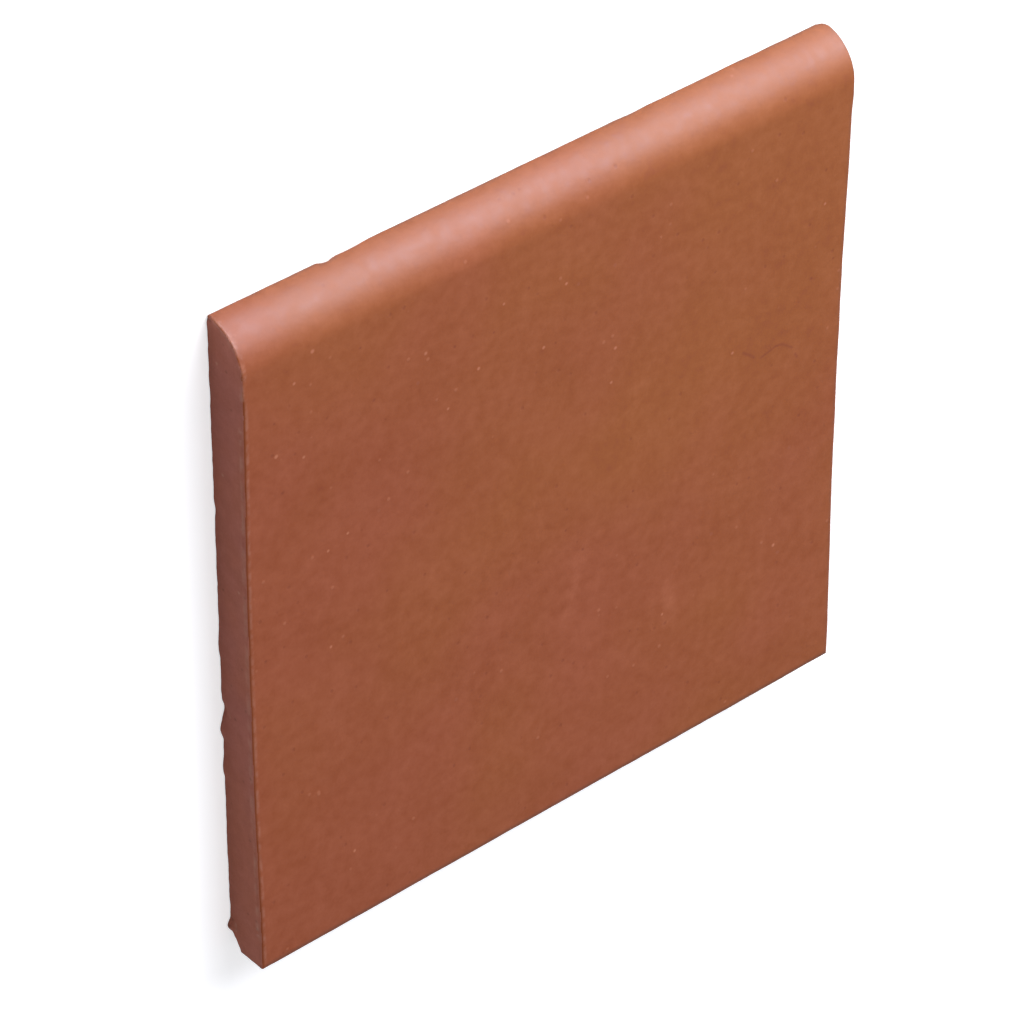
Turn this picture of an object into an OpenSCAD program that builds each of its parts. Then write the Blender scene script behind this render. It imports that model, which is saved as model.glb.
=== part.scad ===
// Quarry bullnose tile: a flat unglazed fired-clay tile with one edge
// rounded over from the fair face down to the back. The clay is extruded
// through a die that gives the section, and then cut to length.
// Frame: X runs along the rounded edge, +Y points to the rounded edge and
// +Z is the outward normal of the fair face. The origin is the middle of the
// flat back, on the surface that the tile lies on.

/* [Tile] */
// Length along the rounded edge, from one cut end to the other
tile_length = 152; // [90:1:305]
// Width from the butt edge to the crown of the rounded edge
tile_width = 152; // [90:1:305]
// Thickness beside the round and at the butt edge, where the tile is thickest
tile_thickness = 10; // [6:0.5:25]

/* [Fair face] */
// Depth of the shallow hollow across the width of the fair face
dish_depth = 0.8; // [0.2:0.1:1.5]
// Flat land left beside the round and beside the butt edge
dish_land = 3; // [2:0.5:10]

/* [Edges] */
// Radius that eases the back arris under the round
crown_arris_r = 0.6; // [0.3:0.1:2]
// Radius that eases the two arrises of the butt edge
butt_arris_r = 0.5; // [0.2:0.1:2]
// Chamfer that takes the burr off the back arris of each cut end
end_chamfer = 0.4; // [0.2:0.1:1.5]

/* [Quality] */
// Segments of a full circle in the mesh preview
circle_segments = 96; // [24:12:180]
// Flats that follow the hollow across the fair face
dish_flats = 32; // [16:4:64]

/* [Hidden] */
half_length = tile_length / 2;
half_width = tile_width / 2;
// The round takes all the thickness above the eased arris under it, and its
// axis lies this far from the middle of the tile.
nose_r = tile_thickness - crown_arris_r;
nose_axis_y = half_width - nose_r;
// The hollow lies between the two lands.
dish_start_y = dish_land - half_width;
dish_end_y = nose_axis_y - dish_land;
dish_middle_y = (dish_start_y + dish_end_y) / 2;
dish_reach = (dish_end_y - dish_start_y) / 2;
// A higher power gives the hollow a flatter bottom and steeper sides.
dish_power = 4;
// Cutters reach past the surface that they cut by this much.
cut_margin = 1;
right_angle = 90;
clay_red = [0.61, 0.36, 0.23];
$fn = circle_segments;

// Depth of the hollow at a share of its reach, from -1 at the butt side to 1
// at the round: full in the middle, and running out level at both lands.
function dish_depth_at(share) = dish_depth * (1 - pow(sin(right_angle * abs(share)), dish_power));

// What easing to a radius takes off the corner at the origin of the first
// quadrant: the corner square, less the circle that rounds it.
module arris_waste(radius) {
  difference() {
    translate([-cut_margin, -cut_margin]) square(radius + cut_margin);
    translate([radius, radius]) circle(r = radius);
  }
}

// Slab of the section: from the butt edge to the axis of the round, and on
// to the crown below that axis.
module slab_section() {
  translate([-half_width, 0]) square([tile_width - nose_r, tile_thickness]);
  translate([-half_width, 0]) square([tile_width, crown_arris_r]);
}

// The quarter round, from the fair face to the crown.
module nose_section() {
  translate([nose_axis_y, crown_arris_r]) intersection() {
    circle(r = nose_r);
    square(nose_r);
  }
}

// What the hollow takes off the fair face.
module dish_waste() {
  hollow = [for (i = [0 : dish_flats]) let (share = 2 * i / dish_flats - 1)
    [dish_middle_y + share * dish_reach, tile_thickness - dish_depth_at(share)]];
  polygon(concat([[dish_start_y, tile_thickness + cut_margin]], hollow,
                 [[dish_end_y, tile_thickness + cut_margin]]));
}

// Section that the die gives: its first axis is the tile's width and its
// second the thickness.
module tile_section() {
  difference() {
    union() {
      slab_section();
      nose_section();
    }
    translate([-half_width, 0]) arris_waste(butt_arris_r);
    translate([-half_width, tile_thickness]) mirror([0, 1]) arris_waste(butt_arris_r);
    translate([half_width, 0]) mirror([1, 0]) arris_waste(crown_arris_r);
    dish_waste();
  }
}

// Wedge that takes the burr off the back arris of the right-hand end.
module end_chamfer_waste() {
  translate([half_length, 0, 0]) rotate([right_angle, 0, 0])
    linear_extrude(height = tile_width + 2 * cut_margin, center = true)
      polygon([[-end_chamfer, 0], [-end_chamfer, -cut_margin], [cut_margin, -cut_margin],
               [cut_margin, end_chamfer], [0, end_chamfer]]);
}

// The whole tile, fired in one piece.
module bullnose_tile() {
  color(clay_red) difference() {
    rotate([right_angle, 0, right_angle])
      linear_extrude(height = tile_length, center = true) tile_section();
    end_chamfer_waste();
    mirror([1, 0, 0]) end_chamfer_waste();
  }
}

bullnose_tile();
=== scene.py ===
"""A quarry bullnose tile: one piece of unglazed red clay, extruded, cut to length and fired.

The tile lies on its back. X runs along the rounded edge, +Y points to the rounded edge and +Z is the
outward normal of the fair face. Lengths are in metres and angles in radians, unless a comment says
otherwise.
"""

import math
from random import Random

import bmesh
import bpy
from mathutils import Matrix, Vector


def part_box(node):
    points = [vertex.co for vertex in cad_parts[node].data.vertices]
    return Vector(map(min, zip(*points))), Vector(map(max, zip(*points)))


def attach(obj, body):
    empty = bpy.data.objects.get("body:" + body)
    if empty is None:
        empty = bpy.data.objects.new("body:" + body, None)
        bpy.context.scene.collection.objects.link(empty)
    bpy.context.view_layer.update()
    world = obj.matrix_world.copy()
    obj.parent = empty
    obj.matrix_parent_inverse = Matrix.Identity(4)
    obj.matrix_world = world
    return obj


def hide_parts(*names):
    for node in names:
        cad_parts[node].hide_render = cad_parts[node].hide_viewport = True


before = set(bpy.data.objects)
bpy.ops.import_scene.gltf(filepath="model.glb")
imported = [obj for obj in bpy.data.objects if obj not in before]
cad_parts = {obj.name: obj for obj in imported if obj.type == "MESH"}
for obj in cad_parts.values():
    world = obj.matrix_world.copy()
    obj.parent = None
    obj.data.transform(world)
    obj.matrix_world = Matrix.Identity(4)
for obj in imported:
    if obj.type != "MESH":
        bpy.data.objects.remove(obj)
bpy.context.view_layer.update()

MM = 0.001
NODE = "bullnose_tile"

# ---- Sizes of the tile ---------------------------------------------------------------------------
tile_low, tile_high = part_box(NODE)
HALF_LENGTH = (tile_high.x - tile_low.x) / 2
HALF_WIDTH = (tile_high.y - tile_low.y) / 2
THICKNESS = tile_high.z - tile_low.z

# The round takes all the thickness above the small eased arris under it.
CROWN_ARRIS = 0.6 * MM
ROUND_RADIUS = THICKNESS - CROWN_ARRIS
ROUND_AXIS_Y = HALF_WIDTH - ROUND_RADIUS
ROUND_STEPS = 24
CROWN_ARRIS_STEPS = 5
ROUND_PROFILE = 0.5
BUTT_ARRIS = 0.5 * MM
BUTT_ARRIS_STEPS = 4
END_ARRIS = 0.4 * MM
END_ARRIS_STEPS = 3

# Shallow hollow across the fair face, between a land beside the round and one beside the butt edge
HOLLOW_DEPTH = 0.8 * MM
HOLLOW_LAND = 3 * MM
HOLLOW_POWER = 4

# Spacing of the mesh lines: on the back, and on all that shows when the tile lies on its back
BACK_SPACING = 4 * MM
SPACING = 1 * MM
# Lines close to each cut end, measured in from that end
END_LINES = (0.6 * MM, 0.9 * MM, 1.4 * MM, 2 * MM)
# On the back, every so many of the round's steps has a line of its own, up to a few from the crown.
BACK_ROUND_STEP = 4
BACK_ROUND_END = ROUND_STEPS - 2
TOUCH = 1e-6
BISECT_TOUCH = TOUCH / 10
# Rows of the mesh are told apart to this many digits of a metre.
ROW_DIGITS = 7

# How far a face leans, as the least part of its normal along an axis
FACES_DOWN = -0.99
LEANS_DOWN = -0.9
LEANS_UP = 0.9
LEANS_TO_BUTT = -0.9
LEANS_TO_END = 0.1


# ---- Modelling helpers ---------------------------------------------------------------------------
def hold(piece):
    """Selects one piece and nothing else, and makes it the one that the operators work on."""
    bpy.ops.object.select_all(action="DESELECT")
    piece.select_set(True)
    bpy.context.view_layer.objects.active = piece


def edit(piece):
    """Opens one piece for editing, with nothing else selected."""
    hold(piece)
    bpy.ops.object.mode_set(mode="EDIT")


def close_edit():
    bpy.ops.object.mode_set(mode="OBJECT")


def pick(piece, kind, wanted):
    """Selects the "VERT", "EDGE" or "FACE" parts that wanted() accepts, and nothing else."""
    bpy.ops.mesh.select_mode(type=kind)
    bpy.ops.mesh.select_all(action="DESELECT")
    mesh = bmesh.from_edit_mesh(piece.data)
    parts = {"VERT": mesh.verts, "EDGE": mesh.edges, "FACE": mesh.faces}[kind]
    for part in parts:
        if wanted(part):
            part.select_set(True)
    bmesh.update_edit_mesh(piece.data)


def slice_at(axis, place):
    """Cuts a line round all selected faces, square to an axis."""
    point = [0, 0, 0]
    normal = [0, 0, 0]
    point[axis] = place
    normal[axis] = 1
    bpy.ops.mesh.bisect(plane_co=point, plane_no=normal, threshold=BISECT_TOUCH)


def slice_all(axis, places):
    for place in places:
        bpy.ops.mesh.select_all(action="SELECT")
        slice_at(axis, place)


def spread(start, end, spacing):
    """Places between start and end, both left out, at about the spacing."""
    count = round((end - start) / spacing)
    return [start + (end - start) * i / count for i in range(1, count)]


def lies_on(edge, axis, place):
    return all(abs(v.co[axis] - place) < TOUCH for v in edge.verts)


def runs_along_x(edge):
    return abs(edge.verts[0].co.x - edge.verts[1].co.x) > TOUCH


def ease(piece, width, steps, wanted):
    """Rounds the edges that wanted() accepts to a radius."""
    pick(piece, "EDGE", wanted)
    bpy.ops.mesh.bevel(offset=width, offset_type="OFFSET", segments=steps, profile=ROUND_PROFILE,
                       affect="EDGES")


# ---- Shape of the tile ---------------------------------------------------------------------------
def from_round_axis(place):
    """Distance from the axis of the round, or 0 for a place that is not under the round."""
    out = Vector((place.y - ROUND_AXIS_Y, place.z - CROWN_ARRIS))
    return out.length if min(out) > 0 else 0


def hollow_depth(y):
    """Depth of the hollow across the fair face: full in the middle, and running out level at the lands."""
    start = HOLLOW_LAND - HALF_WIDTH
    end = ROUND_AXIS_Y - HOLLOW_LAND
    share = min(1, abs(2 * y - start - end) / (end - start))
    return HOLLOW_DEPTH * (1 - math.sin(math.pi / 2 * share) ** HOLLOW_POWER)


def clay_blank():
    """The block of clay with its round, and with every arris eased."""
    bpy.ops.object.select_all(action="DESELECT")
    size = (2 * HALF_LENGTH, 2 * HALF_WIDTH, THICKNESS)
    bpy.ops.mesh.primitive_cube_add(size=1, location=(0, 0, THICKNESS / 2), scale=size)
    bpy.ops.object.transform_apply(location=True, rotation=True, scale=True)
    tile = bpy.context.object
    tile.name = "fired_bullnose_tile"
    edit(tile)
    ease(tile, ROUND_RADIUS, ROUND_STEPS,
         lambda e: lies_on(e, 1, HALF_WIDTH) and lies_on(e, 2, THICKNESS))
    # A hair less than the full radius keeps the arris clear of the round above it.
    ease(tile, CROWN_ARRIS - TOUCH, CROWN_ARRIS_STEPS,
         lambda e: lies_on(e, 1, HALF_WIDTH) and lies_on(e, 2, 0))
    ease(tile, BUTT_ARRIS, BUTT_ARRIS_STEPS,
         lambda e: lies_on(e, 1, -HALF_WIDTH) and runs_along_x(e))
    ease(tile, END_ARRIS, END_ARRIS_STEPS,
         lambda e: lies_on(e, 0, -HALF_LENGTH) or lies_on(e, 0, HALF_LENGTH))
    close_edit()
    return tile


def press_hollow(tile, rows):
    """Presses each slice across the tile down to the hollow of the fair face."""
    for y in rows:
        share = 1 - hollow_depth(y) / THICKNESS
        if share < 1:
            pick(tile, "VERT", lambda v, y=y: abs(v.co.y - y) < TOUCH)
            bpy.ops.transform.resize(value=(1, 1, share), center_override=(0, 0, 0))


def lay_mesh_lines(tile):
    """Cuts the blank into an even mesh, and presses the hollow on the way."""
    edit(tile)
    end_start = HALF_LENGTH - END_LINES[-1]
    round_rows = [ROUND_AXIS_Y + ROUND_RADIUS * math.sin(math.pi / 2 * i / ROUND_STEPS)
                  for i in range(BACK_ROUND_STEP, BACK_ROUND_END, BACK_ROUND_STEP)]
    rows = spread(-HALF_WIDTH + BUTT_ARRIS, ROUND_AXIS_Y, BACK_SPACING)
    slice_all(0, spread(-end_start, end_start, BACK_SPACING))
    slice_all(1, [*rows, ROUND_AXIS_Y, *round_rows])
    pick(tile, "FACE", lambda f: f.normal.z < FACES_DOWN)
    bpy.ops.mesh.hide()
    fine_rows = spread(-HALF_WIDTH + BUTT_ARRIS, ROUND_AXIS_Y, SPACING)
    slice_all(1, fine_rows)
    press_hollow(tile, sorted({round(y, ROW_DIGITS) for y in [*rows, *fine_rows]}))
    near_ends = [side * (HALF_LENGTH - inset) for side in (-1, 1) for inset in END_LINES]
    slice_all(0, [*spread(-end_start, end_start, SPACING), *near_ends])
    lowest_hollow = THICKNESS - HOLLOW_DEPTH
    for z in spread(0, lowest_hollow, SPACING):
        pick(tile, "FACE", lambda f: abs(f.normal.x) > LEANS_TO_END or f.normal.y < LEANS_TO_BUTT)
        slice_at(2, z)
    bpy.ops.mesh.reveal(select=False)
    close_edit()


# ---- Knocks, chips and the skin of the clay ------------------------------------------------------
# Finer mesh: on the cut ends, along the back arris of the left end, round the grit and by the crack.
# Each zone is a reach, and the cuts are how many lines divide each side of a face.
END_ZONE = 0.7 * MM
ARRIS_ZONE = (2.2 * MM, 2.2 * MM)
GRIT_ZONE = 1.2 * MM
END_CUTS = 1
GRIT_CUTS = 3
CRACK_CUTS = 2

# Unevenness of pressed and fired clay, each kind in its own part: its lumps, its height and its direction
UNEVENNESS = (
    ("skin", 18 * MM, 0.16 * MM, "NORMAL"), ("drag", 5 * MM, 0.14 * MM, "X"),
    ("left_arris", 4 * MM, 0.35 * MM, "X"), ("right_arris", 4 * MM, 0.2 * MM, "X"),
    ("round_arris", 4 * MM, 0.14 * MM, "Y"), ("butt_arris", 5 * MM, 0.14 * MM, "Y"),
    ("cut_arris", 1.4 * MM, 0.35 * MM, "NORMAL"))
LUMP_DETAIL = 2
# The skin's unevenness starts just above the back, so that the back stays flat.
SKIN_START = 0.2 * MM
SKIN_FULL = 1.5 * MM
# Each of the others is full up to the first distance from its arris or end, and gone at the second.
END_FADE = (0.1 * MM, 0.8 * MM)
ARRIS_FADE = (0.5 * MM, 1.5 * MM)
LEFT_ARRIS_HEIGHT = (0.4 * MM, 2.2 * MM)
RIGHT_ARRIS_HEIGHT = (0.4 * MM, 2 * MM)
ROUND_ARRIS_FADE = (0.5 * MM, 2 * MM)
ROUND_ARRIS_HEIGHT = (0.6 * MM, 2.5 * MM)
CUT_ARRIS_FADE = (0.5 * MM, 1.2 * MM)
CUT_ARRIS_DEPTH = (0.4 * MM, 1.2 * MM)

# Knocks on the back arris of the left end, in millimetres: place along Y, reach, and how far the clay
# stands out
LEFT_KNOCKS = ((32, 3, -0.3), (0, 4, 0.3), (-15.5, 2.6, -0.55), (-20.5, 3.2, 0.6), (-30, 3.4, 0.35),
               (-50, 5, 0.15), (-70.3, 2, 0.75))
# Knocks on the back arris of the round, in millimetres: place along X, reach, and how far the clay
# stands out
ROUND_KNOCKS = ((26, 5, -0.12), (51, 4, 0.1))
LEFT_KNOCK_HEIGHT = 0.3 * MM
ROUND_KNOCK_HEIGHT = 0.5 * MM
# The back corners at the two ends of the round are worn: side, and radius
WORN_CORNERS = ((1, 3 * MM), (-1, 0.8 * MM))
# In from the crown, the wear is full up to the first share of that radius, and gone at the second.
WORN_SHARES = (0.5, 3)
WORN_SMOOTHING = 0.5
WORN_PASSES = 8
# The arrises between the cut ends and the fair face are rubbed to a wider radius than the others, which
# runs out where the round begins.
FACE_ARRIS = 0.85 * MM
FACE_ARRIS_FADE = (ROUND_AXIS_Y - 8 * MM, ROUND_AXIS_Y + 2 * MM)

# The lower left corner is broken off by a large rough lump. Its centre stands outside the corner, so
# that it bites in by about the depth of the break.
LUMP_RADIUS = 8 * MM
BREAK_DEPTH = 2.6 * MM
CORNER = Vector((-HALF_LENGTH, -HALF_WIDTH, 0))
INWARD = Vector((0.7, 0.45, 0.55))
CORNER_LUMP = CORNER + INWARD * (BREAK_DEPTH - LUMP_RADIUS)
# All the breaks: name, place, half size along each axis, and how rough the break is
BREAKS = (
    ("corner_lump", CORNER_LUMP, Vector((1, 1, 1)) * LUMP_RADIUS, 0.9 * MM),
    ("corner_nick", Vector((-76.9, -73.4, -0.2)) * MM, Vector((1.8, 2.6, 1.8)) * MM, 0.9 * MM),
    ("round_nick", Vector((-48.6, 76.39, -0.39)) * MM, Vector((2.7, 1.6, 1.6)) * MM, 0.15 * MM),
    ("round_graze", Vector((-44.8, 76.7, -0.7)) * MM, Vector((10.2, 1.6, 1.6)) * MM, 0.1 * MM))
BREAK_GRAIN = 1.6 * MM
BREAK_FINENESS = 6

# Grit strewn over the fair face: how many pieces, and their widths and their margin in millimetres
GRIT_SEED = 12
LIGHT_GRIT_COUNT = 20
DARK_GRIT_COUNT = 16
GRIT_WIDTHS = (0.55, 0.9)
GRIT_MARGIN = 3
# Pale grit in the round, in millimetres: place along X, height and width
ROUND_GRIT = ((51, 1.6, 1), (49.5, 3, 0.8))
LIGHT_GRIT_RISE = 0.02 * MM
DARK_GRIT_SINK = -0.02 * MM
LIGHT_GRIT_TONE = 1
DARK_GRIT_TONE = -0.7
ROUND_GRIT_TONE = 0.5
# Fine drying crack near the right end, in three lengths: places along X and Y in millimetres
CRACKS = (((49, 14), (51, 12.5), (52, 11.5)),
          ((54, 10.5), (56, 11), (58, 11.5), (60, 11), (62.5, 9)),
          ((63.5, 7), (64, 6)))
CRACK_SHARES = (0, 0.25, 0.5, 0.75, 1)
CRACK_WIDTH = 0.4 * MM
CRACK_DARKNESS = 0.55
# No length of the crack, and no streak, reaches further than this along X and Y from its first place.
CRACK_REACH = (15 * MM, 10 * MM)
STREAK_REACH = (6 * MM, 25 * MM)
# Faint rubbed streaks on the fair face, in millimetres: start, end and width
STREAKS = (((21.5, 19), (20, 11), 1.6), ((6, -15.5), (3.5, -30.5), 1.3), ((30, -32), (30.5, -44), 1.6))


def refine(piece, cuts, wanted):
    """Divides the faces that wanted() accepts."""
    pick(piece, "FACE", wanted)
    bpy.ops.mesh.subdivide(number_cuts=cuts)


def on_face(x, y):
    """Place on the fair face, for millimetres along X and Y."""
    return Vector((x * MM, y * MM, THICKNESS - hollow_depth(y * MM)))


def on_round(x, z):
    """Place on the round, for millimetres along X and up."""
    height = z * MM - CROWN_ARRIS
    return Vector((x * MM, ROUND_AXIS_Y + math.sqrt(ROUND_RADIUS ** 2 - height ** 2), z * MM))


def strew_grit(dice, count, paleness):
    """Pieces of grit over the fair face, more of them towards the round and more of them small."""
    grit = []
    for _ in range(count):
        x = dice.uniform(-1, 1) * (HALF_LENGTH / MM - GRIT_MARGIN)
        y = dice.triangular(GRIT_MARGIN - HALF_WIDTH / MM, ROUND_AXIS_Y / MM, ROUND_AXIS_Y / MM)
        width = dice.triangular(*GRIT_WIDTHS, GRIT_WIDTHS[0]) * MM
        grit.append((on_face(x, y), width, paleness))
    return grit


# Each piece of grit: its place, its width and how pale it is, below zero for dark grit
dice = Random(GRIT_SEED)
GRIT = [*strew_grit(dice, LIGHT_GRIT_COUNT, LIGHT_GRIT_TONE),
        *strew_grit(dice, DARK_GRIT_COUNT, DARK_GRIT_TONE),
        *((on_round(x, z), width * MM, ROUND_GRIT_TONE) for x, z, width in ROUND_GRIT)]


def near_any(spots, place, reach):
    return any(max(abs(a) for a in place - spot) < reach for spot in spots)


def refine_mesh(tile):
    """Gives the ends, the left back arris, the grit and the crack a finer mesh."""
    depth, height = ARRIS_ZONE
    spots = [place for place, _, _ in GRIT]
    crack_spots = [on_face(*start).lerp(on_face(*end), share)
                   for crack in CRACKS for start, end in zip(crack, crack[1:]) for share in CRACK_SHARES]
    edit(tile)
    refine(tile, END_CUTS, lambda f: abs(f.calc_center_median().x) > HALF_LENGTH - END_ZONE
           and f.normal.z > LEANS_DOWN)
    refine(tile, END_CUTS, lambda f: f.calc_center_median().x < depth - HALF_LENGTH
           and f.normal.z > LEANS_DOWN and f.calc_center_median().z < height)
    refine(tile, GRIT_CUTS, lambda f: near_any(spots, f.calc_center_median(), GRIT_ZONE))
    refine(tile, CRACK_CUTS, lambda f: f.normal.z > LEANS_UP
           and near_any(crack_spots, f.calc_center_median(), SPACING))
    close_edit()


def weigh(piece, name, weight):
    """Makes a vertex group from weight(vertex), for a modifier to follow."""
    group = piece.vertex_groups.new(name=name)
    for vertex in piece.data.vertices:
        share = weight(vertex)
        if share > 0:
            group.add([vertex.index], share, "REPLACE")


def roughen(piece, group, wave, height, direction="NORMAL"):
    """Moves the clay of one vertex group in and out, in soft lumps about one wave across."""
    lumps = bpy.data.textures.new(group + "_lumps", "CLOUDS")
    lumps.noise_scale = wave
    lumps.noise_depth = LUMP_DETAIL
    modifier = piece.modifiers.new(group, "DISPLACE")
    modifier.texture = lumps
    modifier.texture_coords = "LOCAL"
    modifier.vertex_group = group
    modifier.direction = direction
    modifier.strength = height
    modifier.mid_level = 0.5
    bpy.ops.object.modifier_apply(modifier=modifier.name)


def fade(value, start, end):
    """1 at start or before, 0 at end or past it, and smooth between."""
    share = min(1, max(0, (end - value) / (end - start)))
    return share * share * (3 - 2 * share)


def wave_surface(tile):
    """Gives the skin, the cut ends and the arrises the small unevenness of pressed and fired clay."""
    hold(tile)
    weigh(tile, "skin", lambda v: fade(-v.co.z, -SKIN_FULL, -SKIN_START))
    weigh(tile, "drag", lambda v: fade(HALF_LENGTH - abs(v.co.x), *END_FADE))
    weigh(tile, "left_arris", lambda v: fade(v.co.x + HALF_LENGTH, *ARRIS_FADE)
          * fade(v.co.z, *LEFT_ARRIS_HEIGHT))
    weigh(tile, "right_arris", lambda v: fade(HALF_LENGTH - v.co.x, *ARRIS_FADE)
          * fade(v.co.z, *RIGHT_ARRIS_HEIGHT))
    weigh(tile, "round_arris", lambda v: fade(HALF_WIDTH - v.co.y, *ROUND_ARRIS_FADE)
          * fade(v.co.z, *ROUND_ARRIS_HEIGHT))
    weigh(tile, "butt_arris", lambda v: fade(v.co.y + HALF_WIDTH, *ARRIS_FADE))
    weigh(tile, "cut_arris", lambda v: fade(v.co.x + HALF_LENGTH, *CUT_ARRIS_FADE)
          * fade(ROUND_RADIUS - from_round_axis(v.co), *CUT_ARRIS_DEPTH))
    for group, wave, height, direction in UNEVENNESS:
        roughen(tile, group, wave, height, direction)


def drag(tile, place, reach, move):
    """Pulls or pushes the clay round one place, with a soft falloff."""
    target = Vector(place)
    bpy.ops.mesh.select_mode(type="VERT")
    bpy.ops.mesh.select_all(action="DESELECT")
    mesh = bmesh.from_edit_mesh(tile.data)
    close_by = [v for v in mesh.verts if abs(v.co.x - target.x) < reach and abs(v.co.y - target.y) < reach]
    nearest = min(close_by, key=lambda v: (v.co - target).length)
    nearest.select_set(True)
    bmesh.update_edit_mesh(tile.data)
    bpy.ops.transform.translate(value=move, use_proportional_edit=True, proportional_size=reach,
                                proportional_edit_falloff="SMOOTH")


def pull_in(vertex, centre, side, up, radius):
    """Brings a vertex that lies outside a rounded arris, seen along Y, onto its radius."""
    out = vertex.co.xz - centre
    outside = out.x * side > 0 and out.y * up > 0 and out.length > radius
    if outside:
        vertex.co.xz = centre + out.normalized() * radius
    return outside


def wear_face_arrises(tile):
    """Rubs down the arrises between the cut ends and the fair face, less and less towards the round."""
    for vertex in tile.data.vertices:
        if vertex.co.z > THICKNESS / 2:
            side = math.copysign(1, vertex.co.x)
            radius = FACE_ARRIS * fade(vertex.co.y, *FACE_ARRIS_FADE)
            top = THICKNESS - hollow_depth(vertex.co.y)
            pull_in(vertex, Vector((side * (HALF_LENGTH - radius), top - radius)), side, 1, radius)


def wear_corners(tile):
    """Rounds the back corners at the ends of the round, and smooths the clay there."""
    for side, radius in WORN_CORNERS:
        full, gone = (radius * share for share in WORN_SHARES)
        worn = set()
        for vertex in tile.data.vertices:
            reach = radius * fade(HALF_WIDTH - vertex.co.y, full, gone)
            if pull_in(vertex, Vector((side * (HALF_LENGTH - reach), reach)), side, -1, reach):
                worn.add(vertex.index)
        edit(tile)
        pick(tile, "VERT", lambda v, worn=worn: v.index in worn)
        bpy.ops.mesh.vertices_smooth(factor=WORN_SMOOTHING, repeat=WORN_PASSES)
        close_edit()


def knock_arrises(tile):
    """Knocks along the two back arrises that show, and the grit in the fair face."""
    edit(tile)
    for y, reach, out in LEFT_KNOCKS:
        drag(tile, (-HALF_LENGTH, y * MM, LEFT_KNOCK_HEIGHT), reach * MM, (-out * MM, 0, 0))
    for x, reach, out in ROUND_KNOCKS:
        drag(tile, (x * MM, HALF_WIDTH, ROUND_KNOCK_HEIGHT), reach * MM, (0, out * MM, 0))
    for place, width, paleness in GRIT:
        drag(tile, place, width, (0, 0, LIGHT_GRIT_RISE if paleness > 0 else DARK_GRIT_SINK))
    close_edit()


def break_off(tile, name, place, size, rough, finish):
    """Breaks clay away with a lump as the cutter, rough to a height, and gives the break its own finish."""
    bpy.ops.object.select_all(action="DESELECT")
    bpy.ops.mesh.primitive_ico_sphere_add(subdivisions=BREAK_FINENESS, radius=1, location=place, scale=size)
    bpy.ops.object.transform_apply(location=True, rotation=True, scale=True)
    lump = bpy.context.object
    lump.name = name
    lump.data.materials.append(finish)
    weigh(lump, name, lambda v: 1)
    roughen(lump, name, BREAK_GRAIN, rough)
    hold(tile)
    modifier = tile.modifiers.new(name, "BOOLEAN")
    modifier.operation = "DIFFERENCE"
    modifier.solver = "MANIFOLD"
    modifier.material_mode = "TRANSFER"
    modifier.object = lump
    bpy.ops.object.modifier_apply(modifier=modifier.name)
    bpy.data.objects.remove(lump)


tile = clay_blank()
lay_mesh_lines(tile)
refine_mesh(tile)
wear_face_arrises(tile)
wear_corners(tile)
wave_surface(tile)
knock_arrises(tile)

# ---- Materials -----------------------------------------------------------------------------------
COLOUR = "NodeSocketColor"
NUMBER = "NodeSocketFloat"
VECTOR = "NodeSocketVector"
# Sockets of a Mix node that mixes colours: the two colours, and the result
MIX_BASE = 6
MIX_TOP = 7
MIX_RESULT = 2

# Values that all the finishes share. Each pair of edges is where an effect starts and where it is full.
PATCH_EDGES = (0.2, 0.8)
CLOUD_SCALE = 4
CLOUD_SHARE = 0.6
SPECK_CORE = 0.3
LIGHT_GRIT_EDGES = (0.1, 0.9)
DARK_GRIT_EDGES = (-0.1, -0.9)
# Arrises: a patchy pale line, partly rubbed wear and partly painted highlight, and painted shade
RUBBED_HIGHLIGHT_EDGES = (0.3, 0.65)
SHADE_SHARE = -0.6
WIRE_STRETCH = (1, 0.06, 1)
DULLNESS_SWING = 0.22
WEAR_POLISH = 0.1


def new_group(name, inputs, outputs):
    """Starts a shader node group. An input is (name, kind, value) and an output is (name, kind)."""
    group = bpy.data.node_groups.new(name, "ShaderNodeTree")
    for label, kind, value in inputs:
        socket = group.interface.new_socket(name=label, in_out="INPUT", socket_type=kind)
        socket.default_value = value
    for label, kind in outputs:
        group.interface.new_socket(name=label, in_out="OUTPUT", socket_type=kind)
    return group, group.nodes.new("NodeGroupInput").outputs, group.nodes.new("NodeGroupOutput").inputs


def connect(tree, source, socket):
    """Feeds a socket from another socket, or sets it to a plain value."""
    if isinstance(source, bpy.types.NodeSocket):
        tree.links.new(source, socket)
    else:
        socket.default_value = source


def calculate(tree, operation, *values):
    node = tree.nodes.new("ShaderNodeMath")
    node.operation = operation
    for socket, value in zip(node.inputs, values):
        connect(tree, value, socket)
    return node.outputs[0]


def blend(tree, share, base, top):
    node = tree.nodes.new("ShaderNodeMix")
    node.data_type = "RGBA"
    connect(tree, share, node.inputs["Factor"])
    connect(tree, base, node.inputs[MIX_BASE])
    connect(tree, top, node.inputs[MIX_TOP])
    return node.outputs[MIX_RESULT]


def step_between(tree, value, start, end):
    """0 where the value is at start, 1 where it is at end, and smooth between."""
    node = tree.nodes.new("ShaderNodeMapRange")
    node.interpolation_type = "SMOOTHSTEP"
    connect(tree, value, node.inputs["Value"])
    connect(tree, start, node.inputs["From Min"])
    connect(tree, end, node.inputs["From Max"])
    return node.outputs["Result"]


def marked(tree, name):
    """The value that mark() writes on the vertices under this name."""
    node = tree.nodes.new("ShaderNodeAttribute")
    node.attribute_name = name
    return node.outputs["Fac"]


def object_place(tree):
    return tree.nodes.new("ShaderNodeTexCoord").outputs["Object"]


def noise(tree, place, scale, detail):
    node = tree.nodes.new("ShaderNodeTexNoise")
    node.inputs["Detail"].default_value = detail
    connect(tree, place, node.inputs["Vector"])
    connect(tree, scale, node.inputs["Scale"])
    return node.outputs["Fac"]


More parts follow.
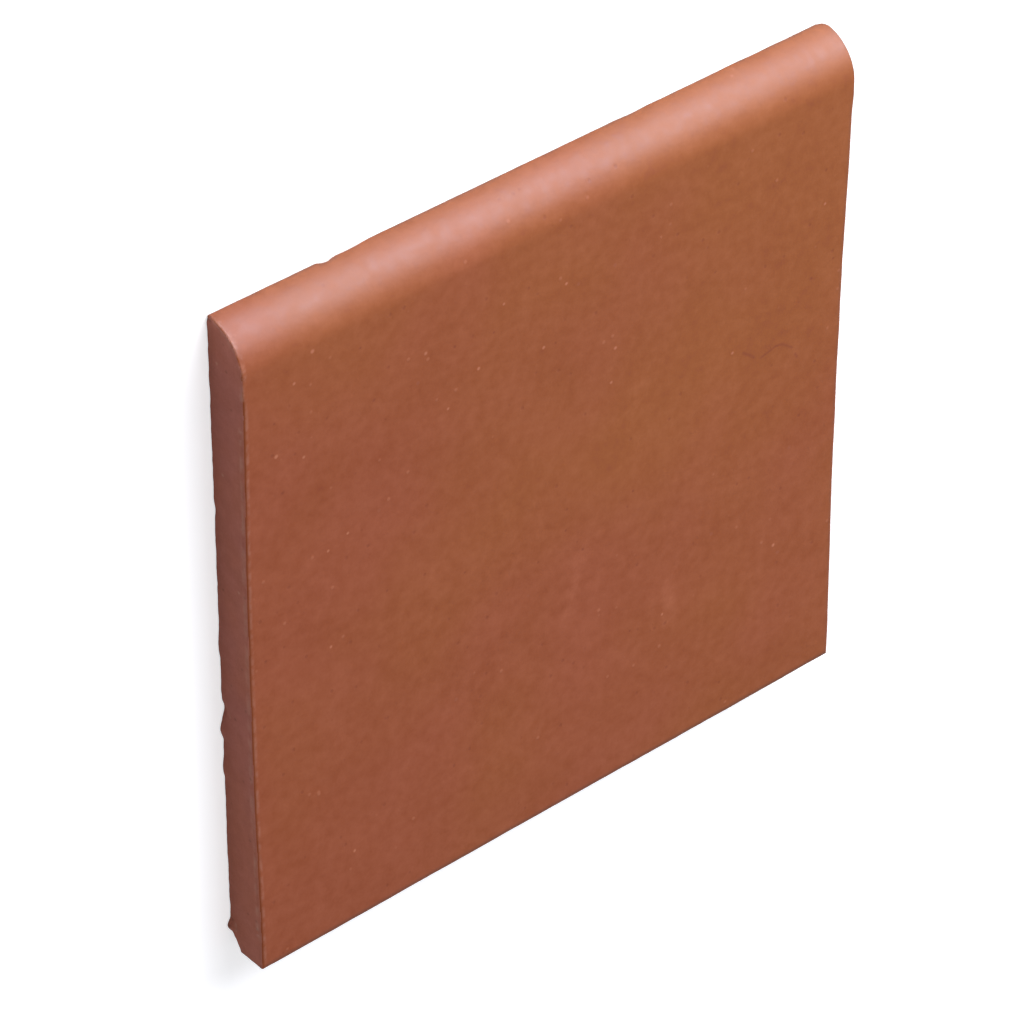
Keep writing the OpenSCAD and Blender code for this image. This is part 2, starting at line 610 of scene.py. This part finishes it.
def scaled(tree, colour, share):
    node = tree.nodes.new("ShaderNodeVectorMath")
    node.operation = "SCALE"
    connect(tree, colour, node.inputs[0])
    connect(tree, share, node.inputs["Scale"])
    return node.outputs[0]


def brighten(tree, colour, bloom, share):
    """Makes a colour brighter or darker by a share that may be below zero, with some of the pale bloom."""
    node = tree.nodes.new("ShaderNodeVectorMath")
    node.operation = "ADD"
    connect(tree, scaled(tree, colour, calculate(tree, "ADD", share, 1)), node.inputs[0])
    connect(tree, scaled(tree, bloom, share), node.inputs[1])
    return node.outputs[0]


def swing(tree, value, amount):
    """Turns noise about one half into a swing about zero of the amount."""
    return calculate(tree, "MULTIPLY", calculate(tree, "SUBTRACT", value, 0.5), amount)


def build_fired_body():
    """Colour of the clay as the kiln leaves it: patches, more of them on the side Lean points away from."""
    tree, given, result = new_group(
        "fired_body",
        [("Body", COLOUR, (0.28, 0.07, 0.016, 1)), ("Hot Patches", COLOUR, (0.28, 0.06, 0.02, 1)),
         ("Bloom", COLOUR, (0.04, 0.08, 0.08, 1)),
         ("Patch Scale", NUMBER, 22), ("Patch Share", NUMBER, 1), ("Lean", VECTOR, (0, 0, 0)),
         ("Mottle Scale", NUMBER, 500),
         ("Mottle", NUMBER, 0.2), ("Grain Scale", NUMBER, 2500), ("Grain", NUMBER, 0.2)],
        [("Color", COLOUR), ("Mottle", NUMBER)])
    place = object_place(tree)
    lean = tree.nodes.new("ShaderNodeVectorMath")
    lean.operation = "DOT_PRODUCT"
    connect(tree, place, lean.inputs[0])
    connect(tree, given["Lean"], lean.inputs[1])
    patchwork = noise(tree, place, given["Patch Scale"], detail=2)
    leaning = calculate(tree, "SUBTRACT", patchwork, lean.outputs["Value"])
    patches = step_between(tree, leaning, *PATCH_EDGES)
    hot_share = calculate(tree, "MULTIPLY", patches, given["Patch Share"])
    body = blend(tree, hot_share, given["Body"], given["Hot Patches"])
    cloud_scale = calculate(tree, "MULTIPLY", given["Patch Scale"], CLOUD_SCALE)
    clouds = noise(tree, place, cloud_scale, detail=3)
    mottle = noise(tree, place, given["Mottle Scale"], detail=3)
    grain = noise(tree, place, given["Grain Scale"], detail=1)
    slow = swing(tree, clouds, calculate(tree, "MULTIPLY", given["Mottle"], CLOUD_SHARE))
    change = calculate(tree, "ADD", slow, swing(tree, mottle, given["Mottle"]))
    change = calculate(tree, "ADD", change, swing(tree, grain, given["Grain"]))
    change = calculate(tree, "ADD", change, calculate(tree, "MULTIPLY", marked(tree, "streak"), mottle))
    connect(tree, brighten(tree, body, given["Bloom"], change), result["Color"])
    connect(tree, mottle, result["Mottle"])
    return tree


def build_grog_flecks():
    """Grog and iron specks all through the clay, and the larger grit that is marked on the mesh."""
    tree, given, result = new_group(
        "grog_flecks",
        [("Color", COLOUR, (0.28, 0.07, 0.016, 1)), ("Grog", COLOUR, (0.55, 0.3, 0.2, 1)),
         ("Iron", COLOUR, (0.08, 0.03, 0.015, 1)), ("Scale", NUMBER, 450), ("Grog Share", NUMBER, 0.1),
         ("Iron Share", NUMBER, 0.1), ("Size", NUMBER, 0.25), ("Strength", NUMBER, 0.6)],
        [("Color", COLOUR), ("Height", NUMBER)])
    cells = tree.nodes.new("ShaderNodeTexVoronoi")
    connect(tree, object_place(tree), cells.inputs["Vector"])
    connect(tree, given["Scale"], cells.inputs["Scale"])
    chance = tree.nodes.new("ShaderNodeSeparateColor")
    connect(tree, cells.outputs["Color"], chance.inputs[0])
    speck = step_between(tree, cells.outputs["Distance"], given["Size"],
                         calculate(tree, "MULTIPLY", given["Size"], SPECK_CORE))
    has_grog = calculate(tree, "LESS_THAN", chance.outputs[0], given["Grog Share"])
    has_iron = calculate(tree, "LESS_THAN", chance.outputs[1], given["Iron Share"])
    grog = calculate(tree, "MULTIPLY", calculate(tree, "MULTIPLY", speck, has_grog), given["Strength"])
    iron = calculate(tree, "MULTIPLY", calculate(tree, "MULTIPLY", speck, has_iron), given["Strength"])
    grit = marked(tree, "grit")
    light_grit = step_between(tree, grit, *LIGHT_GRIT_EDGES)
    dark_grit = step_between(tree, grit, *DARK_GRIT_EDGES)
    colour = blend(tree, calculate(tree, "MAXIMUM", grog, light_grit), given["Color"], given["Grog"])
    colour = blend(tree, calculate(tree, "MAXIMUM", iron, dark_grit), colour, given["Iron"])
    connect(tree, colour, result["Color"])
    connect(tree, calculate(tree, "SUBTRACT", grog, iron), result["Height"])
    return tree


def build_clay_tooth():
    """Height of the fine tooth that burnt clay keeps: coarser dimples with a fine sandy grain on them."""
    tree, given, result = new_group(
        "clay_tooth",
        [("Dimple Scale", NUMBER, 900), ("Dimples", NUMBER, 1), ("Sand Scale", NUMBER, 3500),
         ("Sand", NUMBER, 0.5)],
        [("Height", NUMBER)])
    place = object_place(tree)
    dimples = swing(tree, noise(tree, place, given["Dimple Scale"], detail=2), given["Dimples"])
    sand = swing(tree, noise(tree, place, given["Sand Scale"], detail=2), given["Sand"])
    connect(tree, calculate(tree, "ADD", dimples, sand), result["Height"])
    return tree


def build_arris_wear_and_painted_light():
    """Arrises get a paler, patchy line, partly rubbed wear and partly painted highlight, or painted shade.
    """
    tree, given, result = new_group(
        "arris_wear_and_painted_light",
        [("Color", COLOUR, (0.28, 0.07, 0.016, 1)), ("RubbedHighlight", COLOUR, (0.45, 0.2, 0.12, 1)),
         ("Shadowed", COLOUR, (0.1, 0.04, 0.02, 1)), ("Breaks Scale", NUMBER, 400), ("Amount", NUMBER, 0.5)],
        [("Color", COLOUR), ("WearAndHighlight", NUMBER)])
    wear_and_painted_light = marked(tree, "wear_and_painted_light")
    patchwork = noise(tree, object_place(tree), given["Breaks Scale"], detail=3)
    # Paler where the tone is above zero: partly rubbed wear, partly painted highlight.
    patchy = calculate(tree, "MULTIPLY", step_between(tree, patchwork, *RUBBED_HIGHLIGHT_EDGES), given["Amount"])
    rubbed_and_highlight = calculate(tree, "MAXIMUM", calculate(tree, "MULTIPLY", wear_and_painted_light, patchy), 0)
    # Painted shade: the arris darkens where the tone is below zero.
    painted_shade = calculate(tree, "MAXIMUM", calculate(tree, "MULTIPLY", wear_and_painted_light, SHADE_SHARE), 0)
    colour = blend(tree, rubbed_and_highlight, given["Color"], given["RubbedHighlight"])
    connect(tree, blend(tree, painted_shade, colour, given["Shadowed"]), result["Color"])
    connect(tree, rubbed_and_highlight, result["WearAndHighlight"])
    return tree


def build_wire_drag():
    """Height of the drag marks that the cutting wire leaves, running along Y."""
    tree, given, result = new_group(
        "wire_drag", [("Across Scale", NUMBER, 900), ("Drag", NUMBER, 1)], [("Height", NUMBER)])
    stretch = tree.nodes.new("ShaderNodeMapping")
    stretch.inputs["Scale"].default_value = WIRE_STRETCH
    connect(tree, object_place(tree), stretch.inputs["Vector"])
    lines = noise(tree, stretch.outputs["Vector"], given["Across Scale"], detail=3)
    connect(tree, swing(tree, lines, given["Drag"]), result["Height"])
    return tree


def build_die_smoothing():
    """How much smoother the round is, where the die pressed the wet clay."""
    tree, given, result = new_group("die_smoothing", [("Smoothing", NUMBER, 0.3)], [("Smoothing", NUMBER)])
    smoothing = calculate(tree, "MULTIPLY", marked(tree, "pressed"), given["Smoothing"])
    connect(tree, smoothing, result["Smoothing"])
    return tree


FIRED_BODY = build_fired_body()
GROG_FLECKS = build_grog_flecks()
CLAY_TOOTH = build_clay_tooth()
ARRIS_WEAR_AND_PAINTED_LIGHT = build_arris_wear_and_painted_light()
WIRE_DRAG = build_wire_drag()
DIE_SMOOTHING = build_die_smoothing()


def place_group(tree, group, **values):
    """Places a node group and sets or feeds its inputs, with _ for a space in their names."""
    node = tree.nodes.new("ShaderNodeGroup")
    node.node_tree = group
    for label, value in values.items():
        connect(tree, value, node.inputs[label.replace("_", " ")])
    return node.outputs


def clay_finish(name, roughness, gloss, relief, body, flecks, tooth, rubbed_and_highlight, drag=None, pressed=None):
    """One finish of the clay. Relief is the height in metres of a full swing of the bump."""
    material = bpy.data.materials.new(name)
    material.use_nodes = True
    tree = material.node_tree
    shader = tree.nodes["Principled BSDF"]
    shader.inputs["Specular IOR Level"].default_value = gloss
    fired = place_group(tree, FIRED_BODY, **body)
    specks = place_group(tree, GROG_FLECKS, Color=fired["Color"], **flecks)
    # The arrises get a pale line, partly rubbed wear and partly painted highlight, and painted shade.
    worn = place_group(tree, ARRIS_WEAR_AND_PAINTED_LIGHT, Color=specks["Color"], **rubbed_and_highlight)
    connect(tree, worn["Color"], shader.inputs["Base Color"])
    height = calculate(tree, "ADD", place_group(tree, CLAY_TOOTH, **tooth)["Height"], specks["Height"])
    if drag:
        height = calculate(tree, "ADD", height, place_group(tree, WIRE_DRAG, **drag)["Height"])
    bump = tree.nodes.new("ShaderNodeBump")
    bump.inputs["Strength"].default_value = 1
    bump.inputs["Distance"].default_value = relief
    connect(tree, height, bump.inputs["Height"])
    connect(tree, bump.outputs["Normal"], shader.inputs["Normal"])
    dull = calculate(tree, "ADD", swing(tree, fired["Mottle"], DULLNESS_SWING), roughness)
    if pressed:
        dull = calculate(tree, "SUBTRACT", dull, place_group(tree, DIE_SMOOTHING, **pressed)["Smoothing"])
    polish = calculate(tree, "MULTIPLY", worn["WearAndHighlight"], WEAR_POLISH)
    connect(tree, calculate(tree, "SUBTRACT", dull, polish), shader.inputs["Roughness"])
    return material


fired_face = clay_finish(
    "fired_face", roughness=0.93, gloss=0.35, relief=0.073 * MM,
    body=dict(Body=(0.27, 0.065, 0.002, 1), Hot_Patches=(0.263, 0.053, 0.008, 1), Patch_Scale=20,
              Patch_Share=1, Lean=(3.4, 2.2, 0), Mottle_Scale=400, Mottle=0.31, Grain_Scale=1600,
              Grain=0.04),
    flecks=dict(Grog=(0.41, 0.13, 0.055, 1), Iron=(0.18, 0.028, 0, 1), Scale=430, Grog_Share=0.05,
                Iron_Share=0.12, Size=0.26, Strength=0.4),
    tooth=dict(Dimple_Scale=380, Dimples=1, Sand_Scale=1400, Sand=0.12),
    rubbed_and_highlight=dict(RubbedHighlight=(0.46, 0.22, 0.15, 1), Shadowed=(0.1, 0.035, 0.015, 1), Breaks_Scale=550, Amount=0.7),
    pressed=dict(Smoothing=0.28))
cut_end = clay_finish(
    "cut_end", roughness=0.8, gloss=0.4, relief=0.05 * MM,
    body=dict(Body=(0.385, 0.112, 0.06, 1), Hot_Patches=(0.357, 0.108, 0.076, 1), Patch_Scale=60,
              Patch_Share=0.8, Mottle_Scale=400, Mottle=0.3, Grain_Scale=2000, Grain=0.12),
    flecks=dict(Grog=(0.5, 0.24, 0.15, 1), Iron=(0.12, 0.04, 0.02, 1), Scale=500, Grog_Share=0.02,
                Iron_Share=0.15, Size=0.26, Strength=0.4),
    tooth=dict(Dimple_Scale=900, Dimples=1, Sand_Scale=2800, Sand=0.5),
    rubbed_and_highlight=dict(RubbedHighlight=(0.5, 0.25, 0.17, 1), Shadowed=(0.1, 0.035, 0.02, 1), Breaks_Scale=250, Amount=0.6),
    drag=dict(Across_Scale=900, Drag=0.8))
bedding_back = clay_finish(
    "bedding_back", roughness=0.85, gloss=0.4, relief=0.06 * MM,
    body=dict(Body=(0.3, 0.085, 0.03, 1), Hot_Patches=(0.29, 0.075, 0.028, 1), Patch_Scale=22,
              Patch_Share=0.8, Mottle_Scale=400, Mottle=0.35, Grain_Scale=2200, Grain=0.2),
    flecks=dict(Grog=(0.5, 0.28, 0.2, 1), Iron=(0.1, 0.035, 0.02, 1), Scale=420, Grog_Share=0.15,
                Iron_Share=0.2, Size=0.25, Strength=0.5),
    tooth=dict(Dimple_Scale=700, Dimples=1.2, Sand_Scale=3000, Sand=0.8),
    rubbed_and_highlight=dict(RubbedHighlight=(0.42, 0.19, 0.13, 1), Shadowed=(0.12, 0.04, 0.02, 1), Breaks_Scale=350, Amount=0.3))
broken_clay = clay_finish(
    "broken_clay", roughness=0.9, gloss=0.3, relief=0.08 * MM,
    body=dict(Body=(0.34, 0.09, 0.03, 1), Hot_Patches=(0.3, 0.075, 0.028, 1), Patch_Scale=200,
              Patch_Share=0.8, Mottle_Scale=900, Mottle=0.4, Grain_Scale=2600, Grain=0.3),
    flecks=dict(Grog=(0.55, 0.3, 0.2, 1), Iron=(0.1, 0.03, 0.015, 1), Scale=800, Grog_Share=0.2,
                Iron_Share=0.2, Size=0.3, Strength=0.6),
    tooth=dict(Dimple_Scale=1600, Dimples=1.4, Sand_Scale=4000, Sand=0.8),
    rubbed_and_highlight=dict(RubbedHighlight=(0.42, 0.19, 0.13, 1), Shadowed=(0.12, 0.04, 0.02, 1), Breaks_Scale=350, Amount=0))
FINISHES = (fired_face, cut_end, bedding_back, broken_clay)


# ---- Breaks and finishes on the tile -------------------------------------------------------------
# A face has the finish of the cut end where its normal leans at least this far along X.
END_SLOPE = 0.68
ROUND_END_SLOPE = 0.75
END_FINISH_ZONE = END_ZONE + 0.5 * MM
BACK_FINISH_TOP = 0.3 * MM
SMOOTH_UP_TO = math.radians(40)
ARRIS_BEND = math.radians(9)
ARRIS_TONE_REACH = 0.45 * MM
ARRIS_TONE_SOFTENING = 2
# Tone of the arrises: painted shade near the back, the butt edge and the right end.
ARRIS_SHADE = -1
ARRIS_SHADE_REACH = 1.5 * MM
# Elsewhere a pale line, partly rubbed wear and partly painted highlight.
RUBBED_HIGHLIGHT_FACE = 0.7
RUBBED_HIGHLIGHT_FACE_END = ROUND_AXIS_Y - 2 * MM
RUBBED_HIGHLIGHT_ROUND = 0.6
RUBBED_HIGHLIGHT_ROUND_DEPTH = 0.6 * MM
STREAK_STRENGTH = 0.16
GRIT_ABOVE = 1 * MM
STREAKS_ABOVE = THICKNESS - 2 * MM
# The die pressed the clay of the round smoother than the face. This starts at the first place along Y.
PRESSED_FROM = ROUND_AXIS_Y
PRESSED_FULLY = ROUND_AXIS_Y + 4.4 * MM


def spread_finishes(tile):
    """Gives the faces of the two cut ends and of the back their own finishes."""
    for face in tile.data.polygons:
        slope = END_SLOPE if face.center.y < ROUND_AXIS_Y else ROUND_END_SLOPE
        if abs(face.normal.x) > slope and abs(face.center.x) > HALF_LENGTH - END_FINISH_ZONE:
            face.material_index = FINISHES.index(cut_end)
        elif face.normal.z < LEANS_DOWN and face.center.z < BACK_FINISH_TOP:
            face.material_index = FINISHES.index(bedding_back)


def mark(tile, name, values):
    """Writes one value for each vertex, which the finishes read."""
    attribute = tile.data.attributes.new(name, "FLOAT", "POINT")
    attribute.data.foreach_set("value", values)


def arris_tone(place):
    """Above zero for a paler arris, rubbed wear and painted highlight; below zero for painted shade."""
    # Painted shade on the arrises by the back, the butt edge and the right end.
    if place.z < ARRIS_SHADE_REACH or place.y < ARRIS_SHADE_REACH - HALF_WIDTH or place.x > HALF_LENGTH - ARRIS_SHADE_REACH:
        return ARRIS_SHADE
    if place.y < RUBBED_HIGHLIGHT_FACE_END:
        return RUBBED_HIGHLIGHT_FACE
    in_skin = from_round_axis(place) > ROUND_RADIUS - RUBBED_HIGHLIGHT_ROUND_DEPTH
    return RUBBED_HIGHLIGHT_ROUND if place.y < ROUND_AXIS_Y or in_skin else 0


def mark_wear_and_painted_light(tile):
    """Marks the arrises, where the surface bends sharply, with wear, painted highlight and painted shade.
    """
    mesh = bmesh.new()
    mesh.from_mesh(tile.data)
    mesh.verts.ensure_lookup_table()
    sharp = [0.0] * len(mesh.verts)
    for edge in mesh.edges:
        if len(edge.link_faces) == 2 and edge.calc_face_angle(0) > ARRIS_BEND:
            for vertex in edge.verts:
                sharp[vertex.index] = arris_tone(vertex.co)
    for _ in range(ARRIS_TONE_SOFTENING):
        soft = list(sharp)
        for vertex in mesh.verts:
            near = [sharp[edge.other_vert(vertex).index] for edge in vertex.link_edges
                    if edge.calc_length() < ARRIS_TONE_REACH]
            if near:
                soft[vertex.index] = (sharp[vertex.index] + sum(near) / len(near)) / 2
        sharp = soft
    mesh.free()
    mark(tile, "wear_and_painted_light", sharp)


def distance_to_line(place, line):
    """Distance across the face from a place to a line through several points."""
    best = HALF_LENGTH
    for start, end in zip(line, line[1:]):
        corner = Vector(start) * MM
        run = Vector(end) * MM - corner
        share = min(1, max(0, (place - corner).dot(run) / run.length_squared))
        best = min(best, (place - corner - run * share).length)
    return best


def is_near(place, start, reach):
    """Whether a place is within reach, along X and Y, of a start in millimetres."""
    return abs(place.x - start[0] * MM) < reach[0] and abs(place.y - start[1] * MM) < reach[1]


def grit_at(place):
    """Above zero on light grit, below zero on dark grit and in the crack."""
    value = sum(paleness * fade((place - spot).length, 0, width) for spot, width, paleness in GRIT
                if abs(place.x - spot.x) < SPACING)
    for crack in CRACKS:
        if is_near(place, crack[0], CRACK_REACH):
            value -= CRACK_DARKNESS * fade(distance_to_line(place.xy, crack), 0, 2 * CRACK_WIDTH)
    return value


def streak_at(place):
    """Strength of the rubbed streaks, which are widest and faintest at their ends."""
    value = 0.0
    for start, end, width in STREAKS:
        if is_near(place, start, STREAK_REACH):
            value += STREAK_STRENGTH * fade(distance_to_line(place, (start, end)), 0, 2 * width * MM)
    return value


def mark_face(tile):
    """Marks the grit, the streaks and the pressed clay of the round, and leaves the back plain."""
    places = [vertex.co for vertex in tile.data.vertices]
    mark(tile, "grit", [grit_at(place) if place.z > GRIT_ABOVE else 0 for place in places])
    mark(tile, "pressed", [1 - fade(place.y, PRESSED_FROM, PRESSED_FULLY) for place in places])
    mark(tile, "streak", [streak_at(place.xy) if place.z > STREAKS_ABOVE else 0 for place in places])


for finish in FINISHES:
    tile.data.materials.append(finish)
spread_finishes(tile)
for name, place, size, rough in BREAKS:
    break_off(tile, name, place, size, rough, broken_clay)
mark_wear_and_painted_light(tile)
mark_face(tile)
for polygon in tile.data.polygons:
    polygon.use_smooth = True
hold(tile)
bpy.ops.object.shade_smooth_by_angle(angle=SMOOTH_UP_TO)

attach(tile, "root")
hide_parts(NODE)

# ---- Studio --------------------------------------------------------------------------------------
CAMERA_AZIMUTH = math.radians(220.41)
CAMERA_ELEVATION = math.radians(36.96)
CAMERA_DISTANCE = 1.0362
CAMERA_ROLL = math.radians(125.36)
CAMERA_AIM = Vector((-12.96, 5.72, 10)) * MM
CAMERA_LENS = 189.25
CAMERA_CLIP = (0.01, 30)
FLOOR_SIZE = 12
FLOOR_COLOUR = (0.7, 0.7, 0.7, 1)
FLOOR_GLOW = 0.6
WHITE = (1, 1, 1, 1)
AMBIENT = 0.35
AMBIENT_COLOUR = (0.97, 0.99, 1.08, 1)
# The lamps: azimuth and elevation in degrees, and a power in watts
KEY_LIGHT = dict(azimuth=150, elevation=31, distance=1.1, width=1.1, height=0.8, power=20.5,
                 colour=(0.97, 0.98, 1.05))
SHEEN_CARD = dict(azimuth=158, elevation=20, distance=1.2, width=1.2, height=0.7, power=57,
                  colour=(0.98, 1.04, 1.3))


def facing(azimuth, elevation):
    """Direction from the tile towards an azimuth and an elevation. Azimuth 0 is on the -Y side."""
    flat = math.cos(elevation)
    return Vector((math.sin(azimuth) * flat, -math.cos(azimuth) * flat, math.sin(elevation)))


def add_camera():
    outward = facing(CAMERA_AZIMUTH, CAMERA_ELEVATION)
    level = (-outward).to_track_quat("-Z", "Y").to_matrix().to_4x4()
    bpy.ops.object.camera_add()
    camera = bpy.context.object
    camera.matrix_world = (Matrix.Translation(CAMERA_AIM + outward * CAMERA_DISTANCE)
                           @ level @ Matrix.Rotation(CAMERA_ROLL, 4, "Z"))
    camera.data.lens = CAMERA_LENS
    camera.data.clip_start, camera.data.clip_end = CAMERA_CLIP
    bpy.context.scene.camera = camera


def unlit_ray(tree):
    """1 for the rays that show the background: straight to the camera, or by way of gloss or glass."""
    rays = tree.nodes.new("ShaderNodeLightPath").outputs
    seen = calculate(tree, "MAXIMUM", rays["Is Camera Ray"], rays["Is Glossy Ray"])
    return calculate(tree, "MAXIMUM", seen, rays["Is Transmission Ray"])


def add_world():
    world = bpy.data.worlds.new("studio_surroundings")
    world.use_nodes = True
    tree = world.node_tree
    tree.nodes.clear()
    lit = tree.nodes.new("ShaderNodeBackground")
    lit.inputs["Color"].default_value = AMBIENT_COLOUR
    lit.inputs["Strength"].default_value = AMBIENT
    shown = tree.nodes.new("ShaderNodeBackground")
    shown.inputs["Color"].default_value = WHITE
    mix = tree.nodes.new("ShaderNodeMixShader")
    output = tree.nodes.new("ShaderNodeOutputWorld")
    tree.links.new(unlit_ray(tree), mix.inputs[0])
    tree.links.new(lit.outputs[0], mix.inputs[1])
    tree.links.new(shown.outputs[0], mix.inputs[2])
    tree.links.new(mix.outputs[0], output.inputs[0])
    bpy.context.scene.world = world


def add_floor():
    bpy.ops.mesh.primitive_plane_add(size=FLOOR_SIZE, location=(0, 0, 0))
    floor = bpy.context.object
    floor.name = "floor"
    material = bpy.data.materials.new("pale_floor")
    material.use_nodes = True
    tree = material.node_tree
    tree.nodes.clear()
    diffuse = tree.nodes.new("ShaderNodeBsdfDiffuse")
    diffuse.inputs["Color"].default_value = FLOOR_COLOUR
    glow = tree.nodes.new("ShaderNodeEmission")
    connect(tree, calculate(tree, "MULTIPLY", unlit_ray(tree), FLOOR_GLOW), glow.inputs["Strength"])
    total = tree.nodes.new("ShaderNodeAddShader")
    output = tree.nodes.new("ShaderNodeOutputMaterial")
    tree.links.new(diffuse.outputs[0], total.inputs[0])
    tree.links.new(glow.outputs[0], total.inputs[1])
    tree.links.new(total.outputs[0], output.inputs[0])
    floor.data.materials.append(material)


def add_softbox(name, azimuth, elevation, distance, width, height, power, colour):
    outward = facing(math.radians(azimuth), math.radians(elevation))
    bpy.ops.object.light_add(type="AREA", location=outward * distance)
    light = bpy.context.object
    light.name = name
    light.rotation_mode = "QUATERNION"
    light.rotation_quaternion = outward.to_track_quat("Z", "Y")
    light.data.shape = "RECTANGLE"
    light.data.size = width
    light.data.size_y = height
    light.data.energy = power
    light.data.color = colour
    return light


add_world()
add_floor()
add_softbox("key_light", **KEY_LIGHT)
# The card only shows in the gloss, as a soft highlight along the round.
sheen = add_softbox("sheen_card", **SHEEN_CARD)
sheen.visible_diffuse = False
add_camera()
bpy.context.scene.view_settings.view_transform = "Standard"
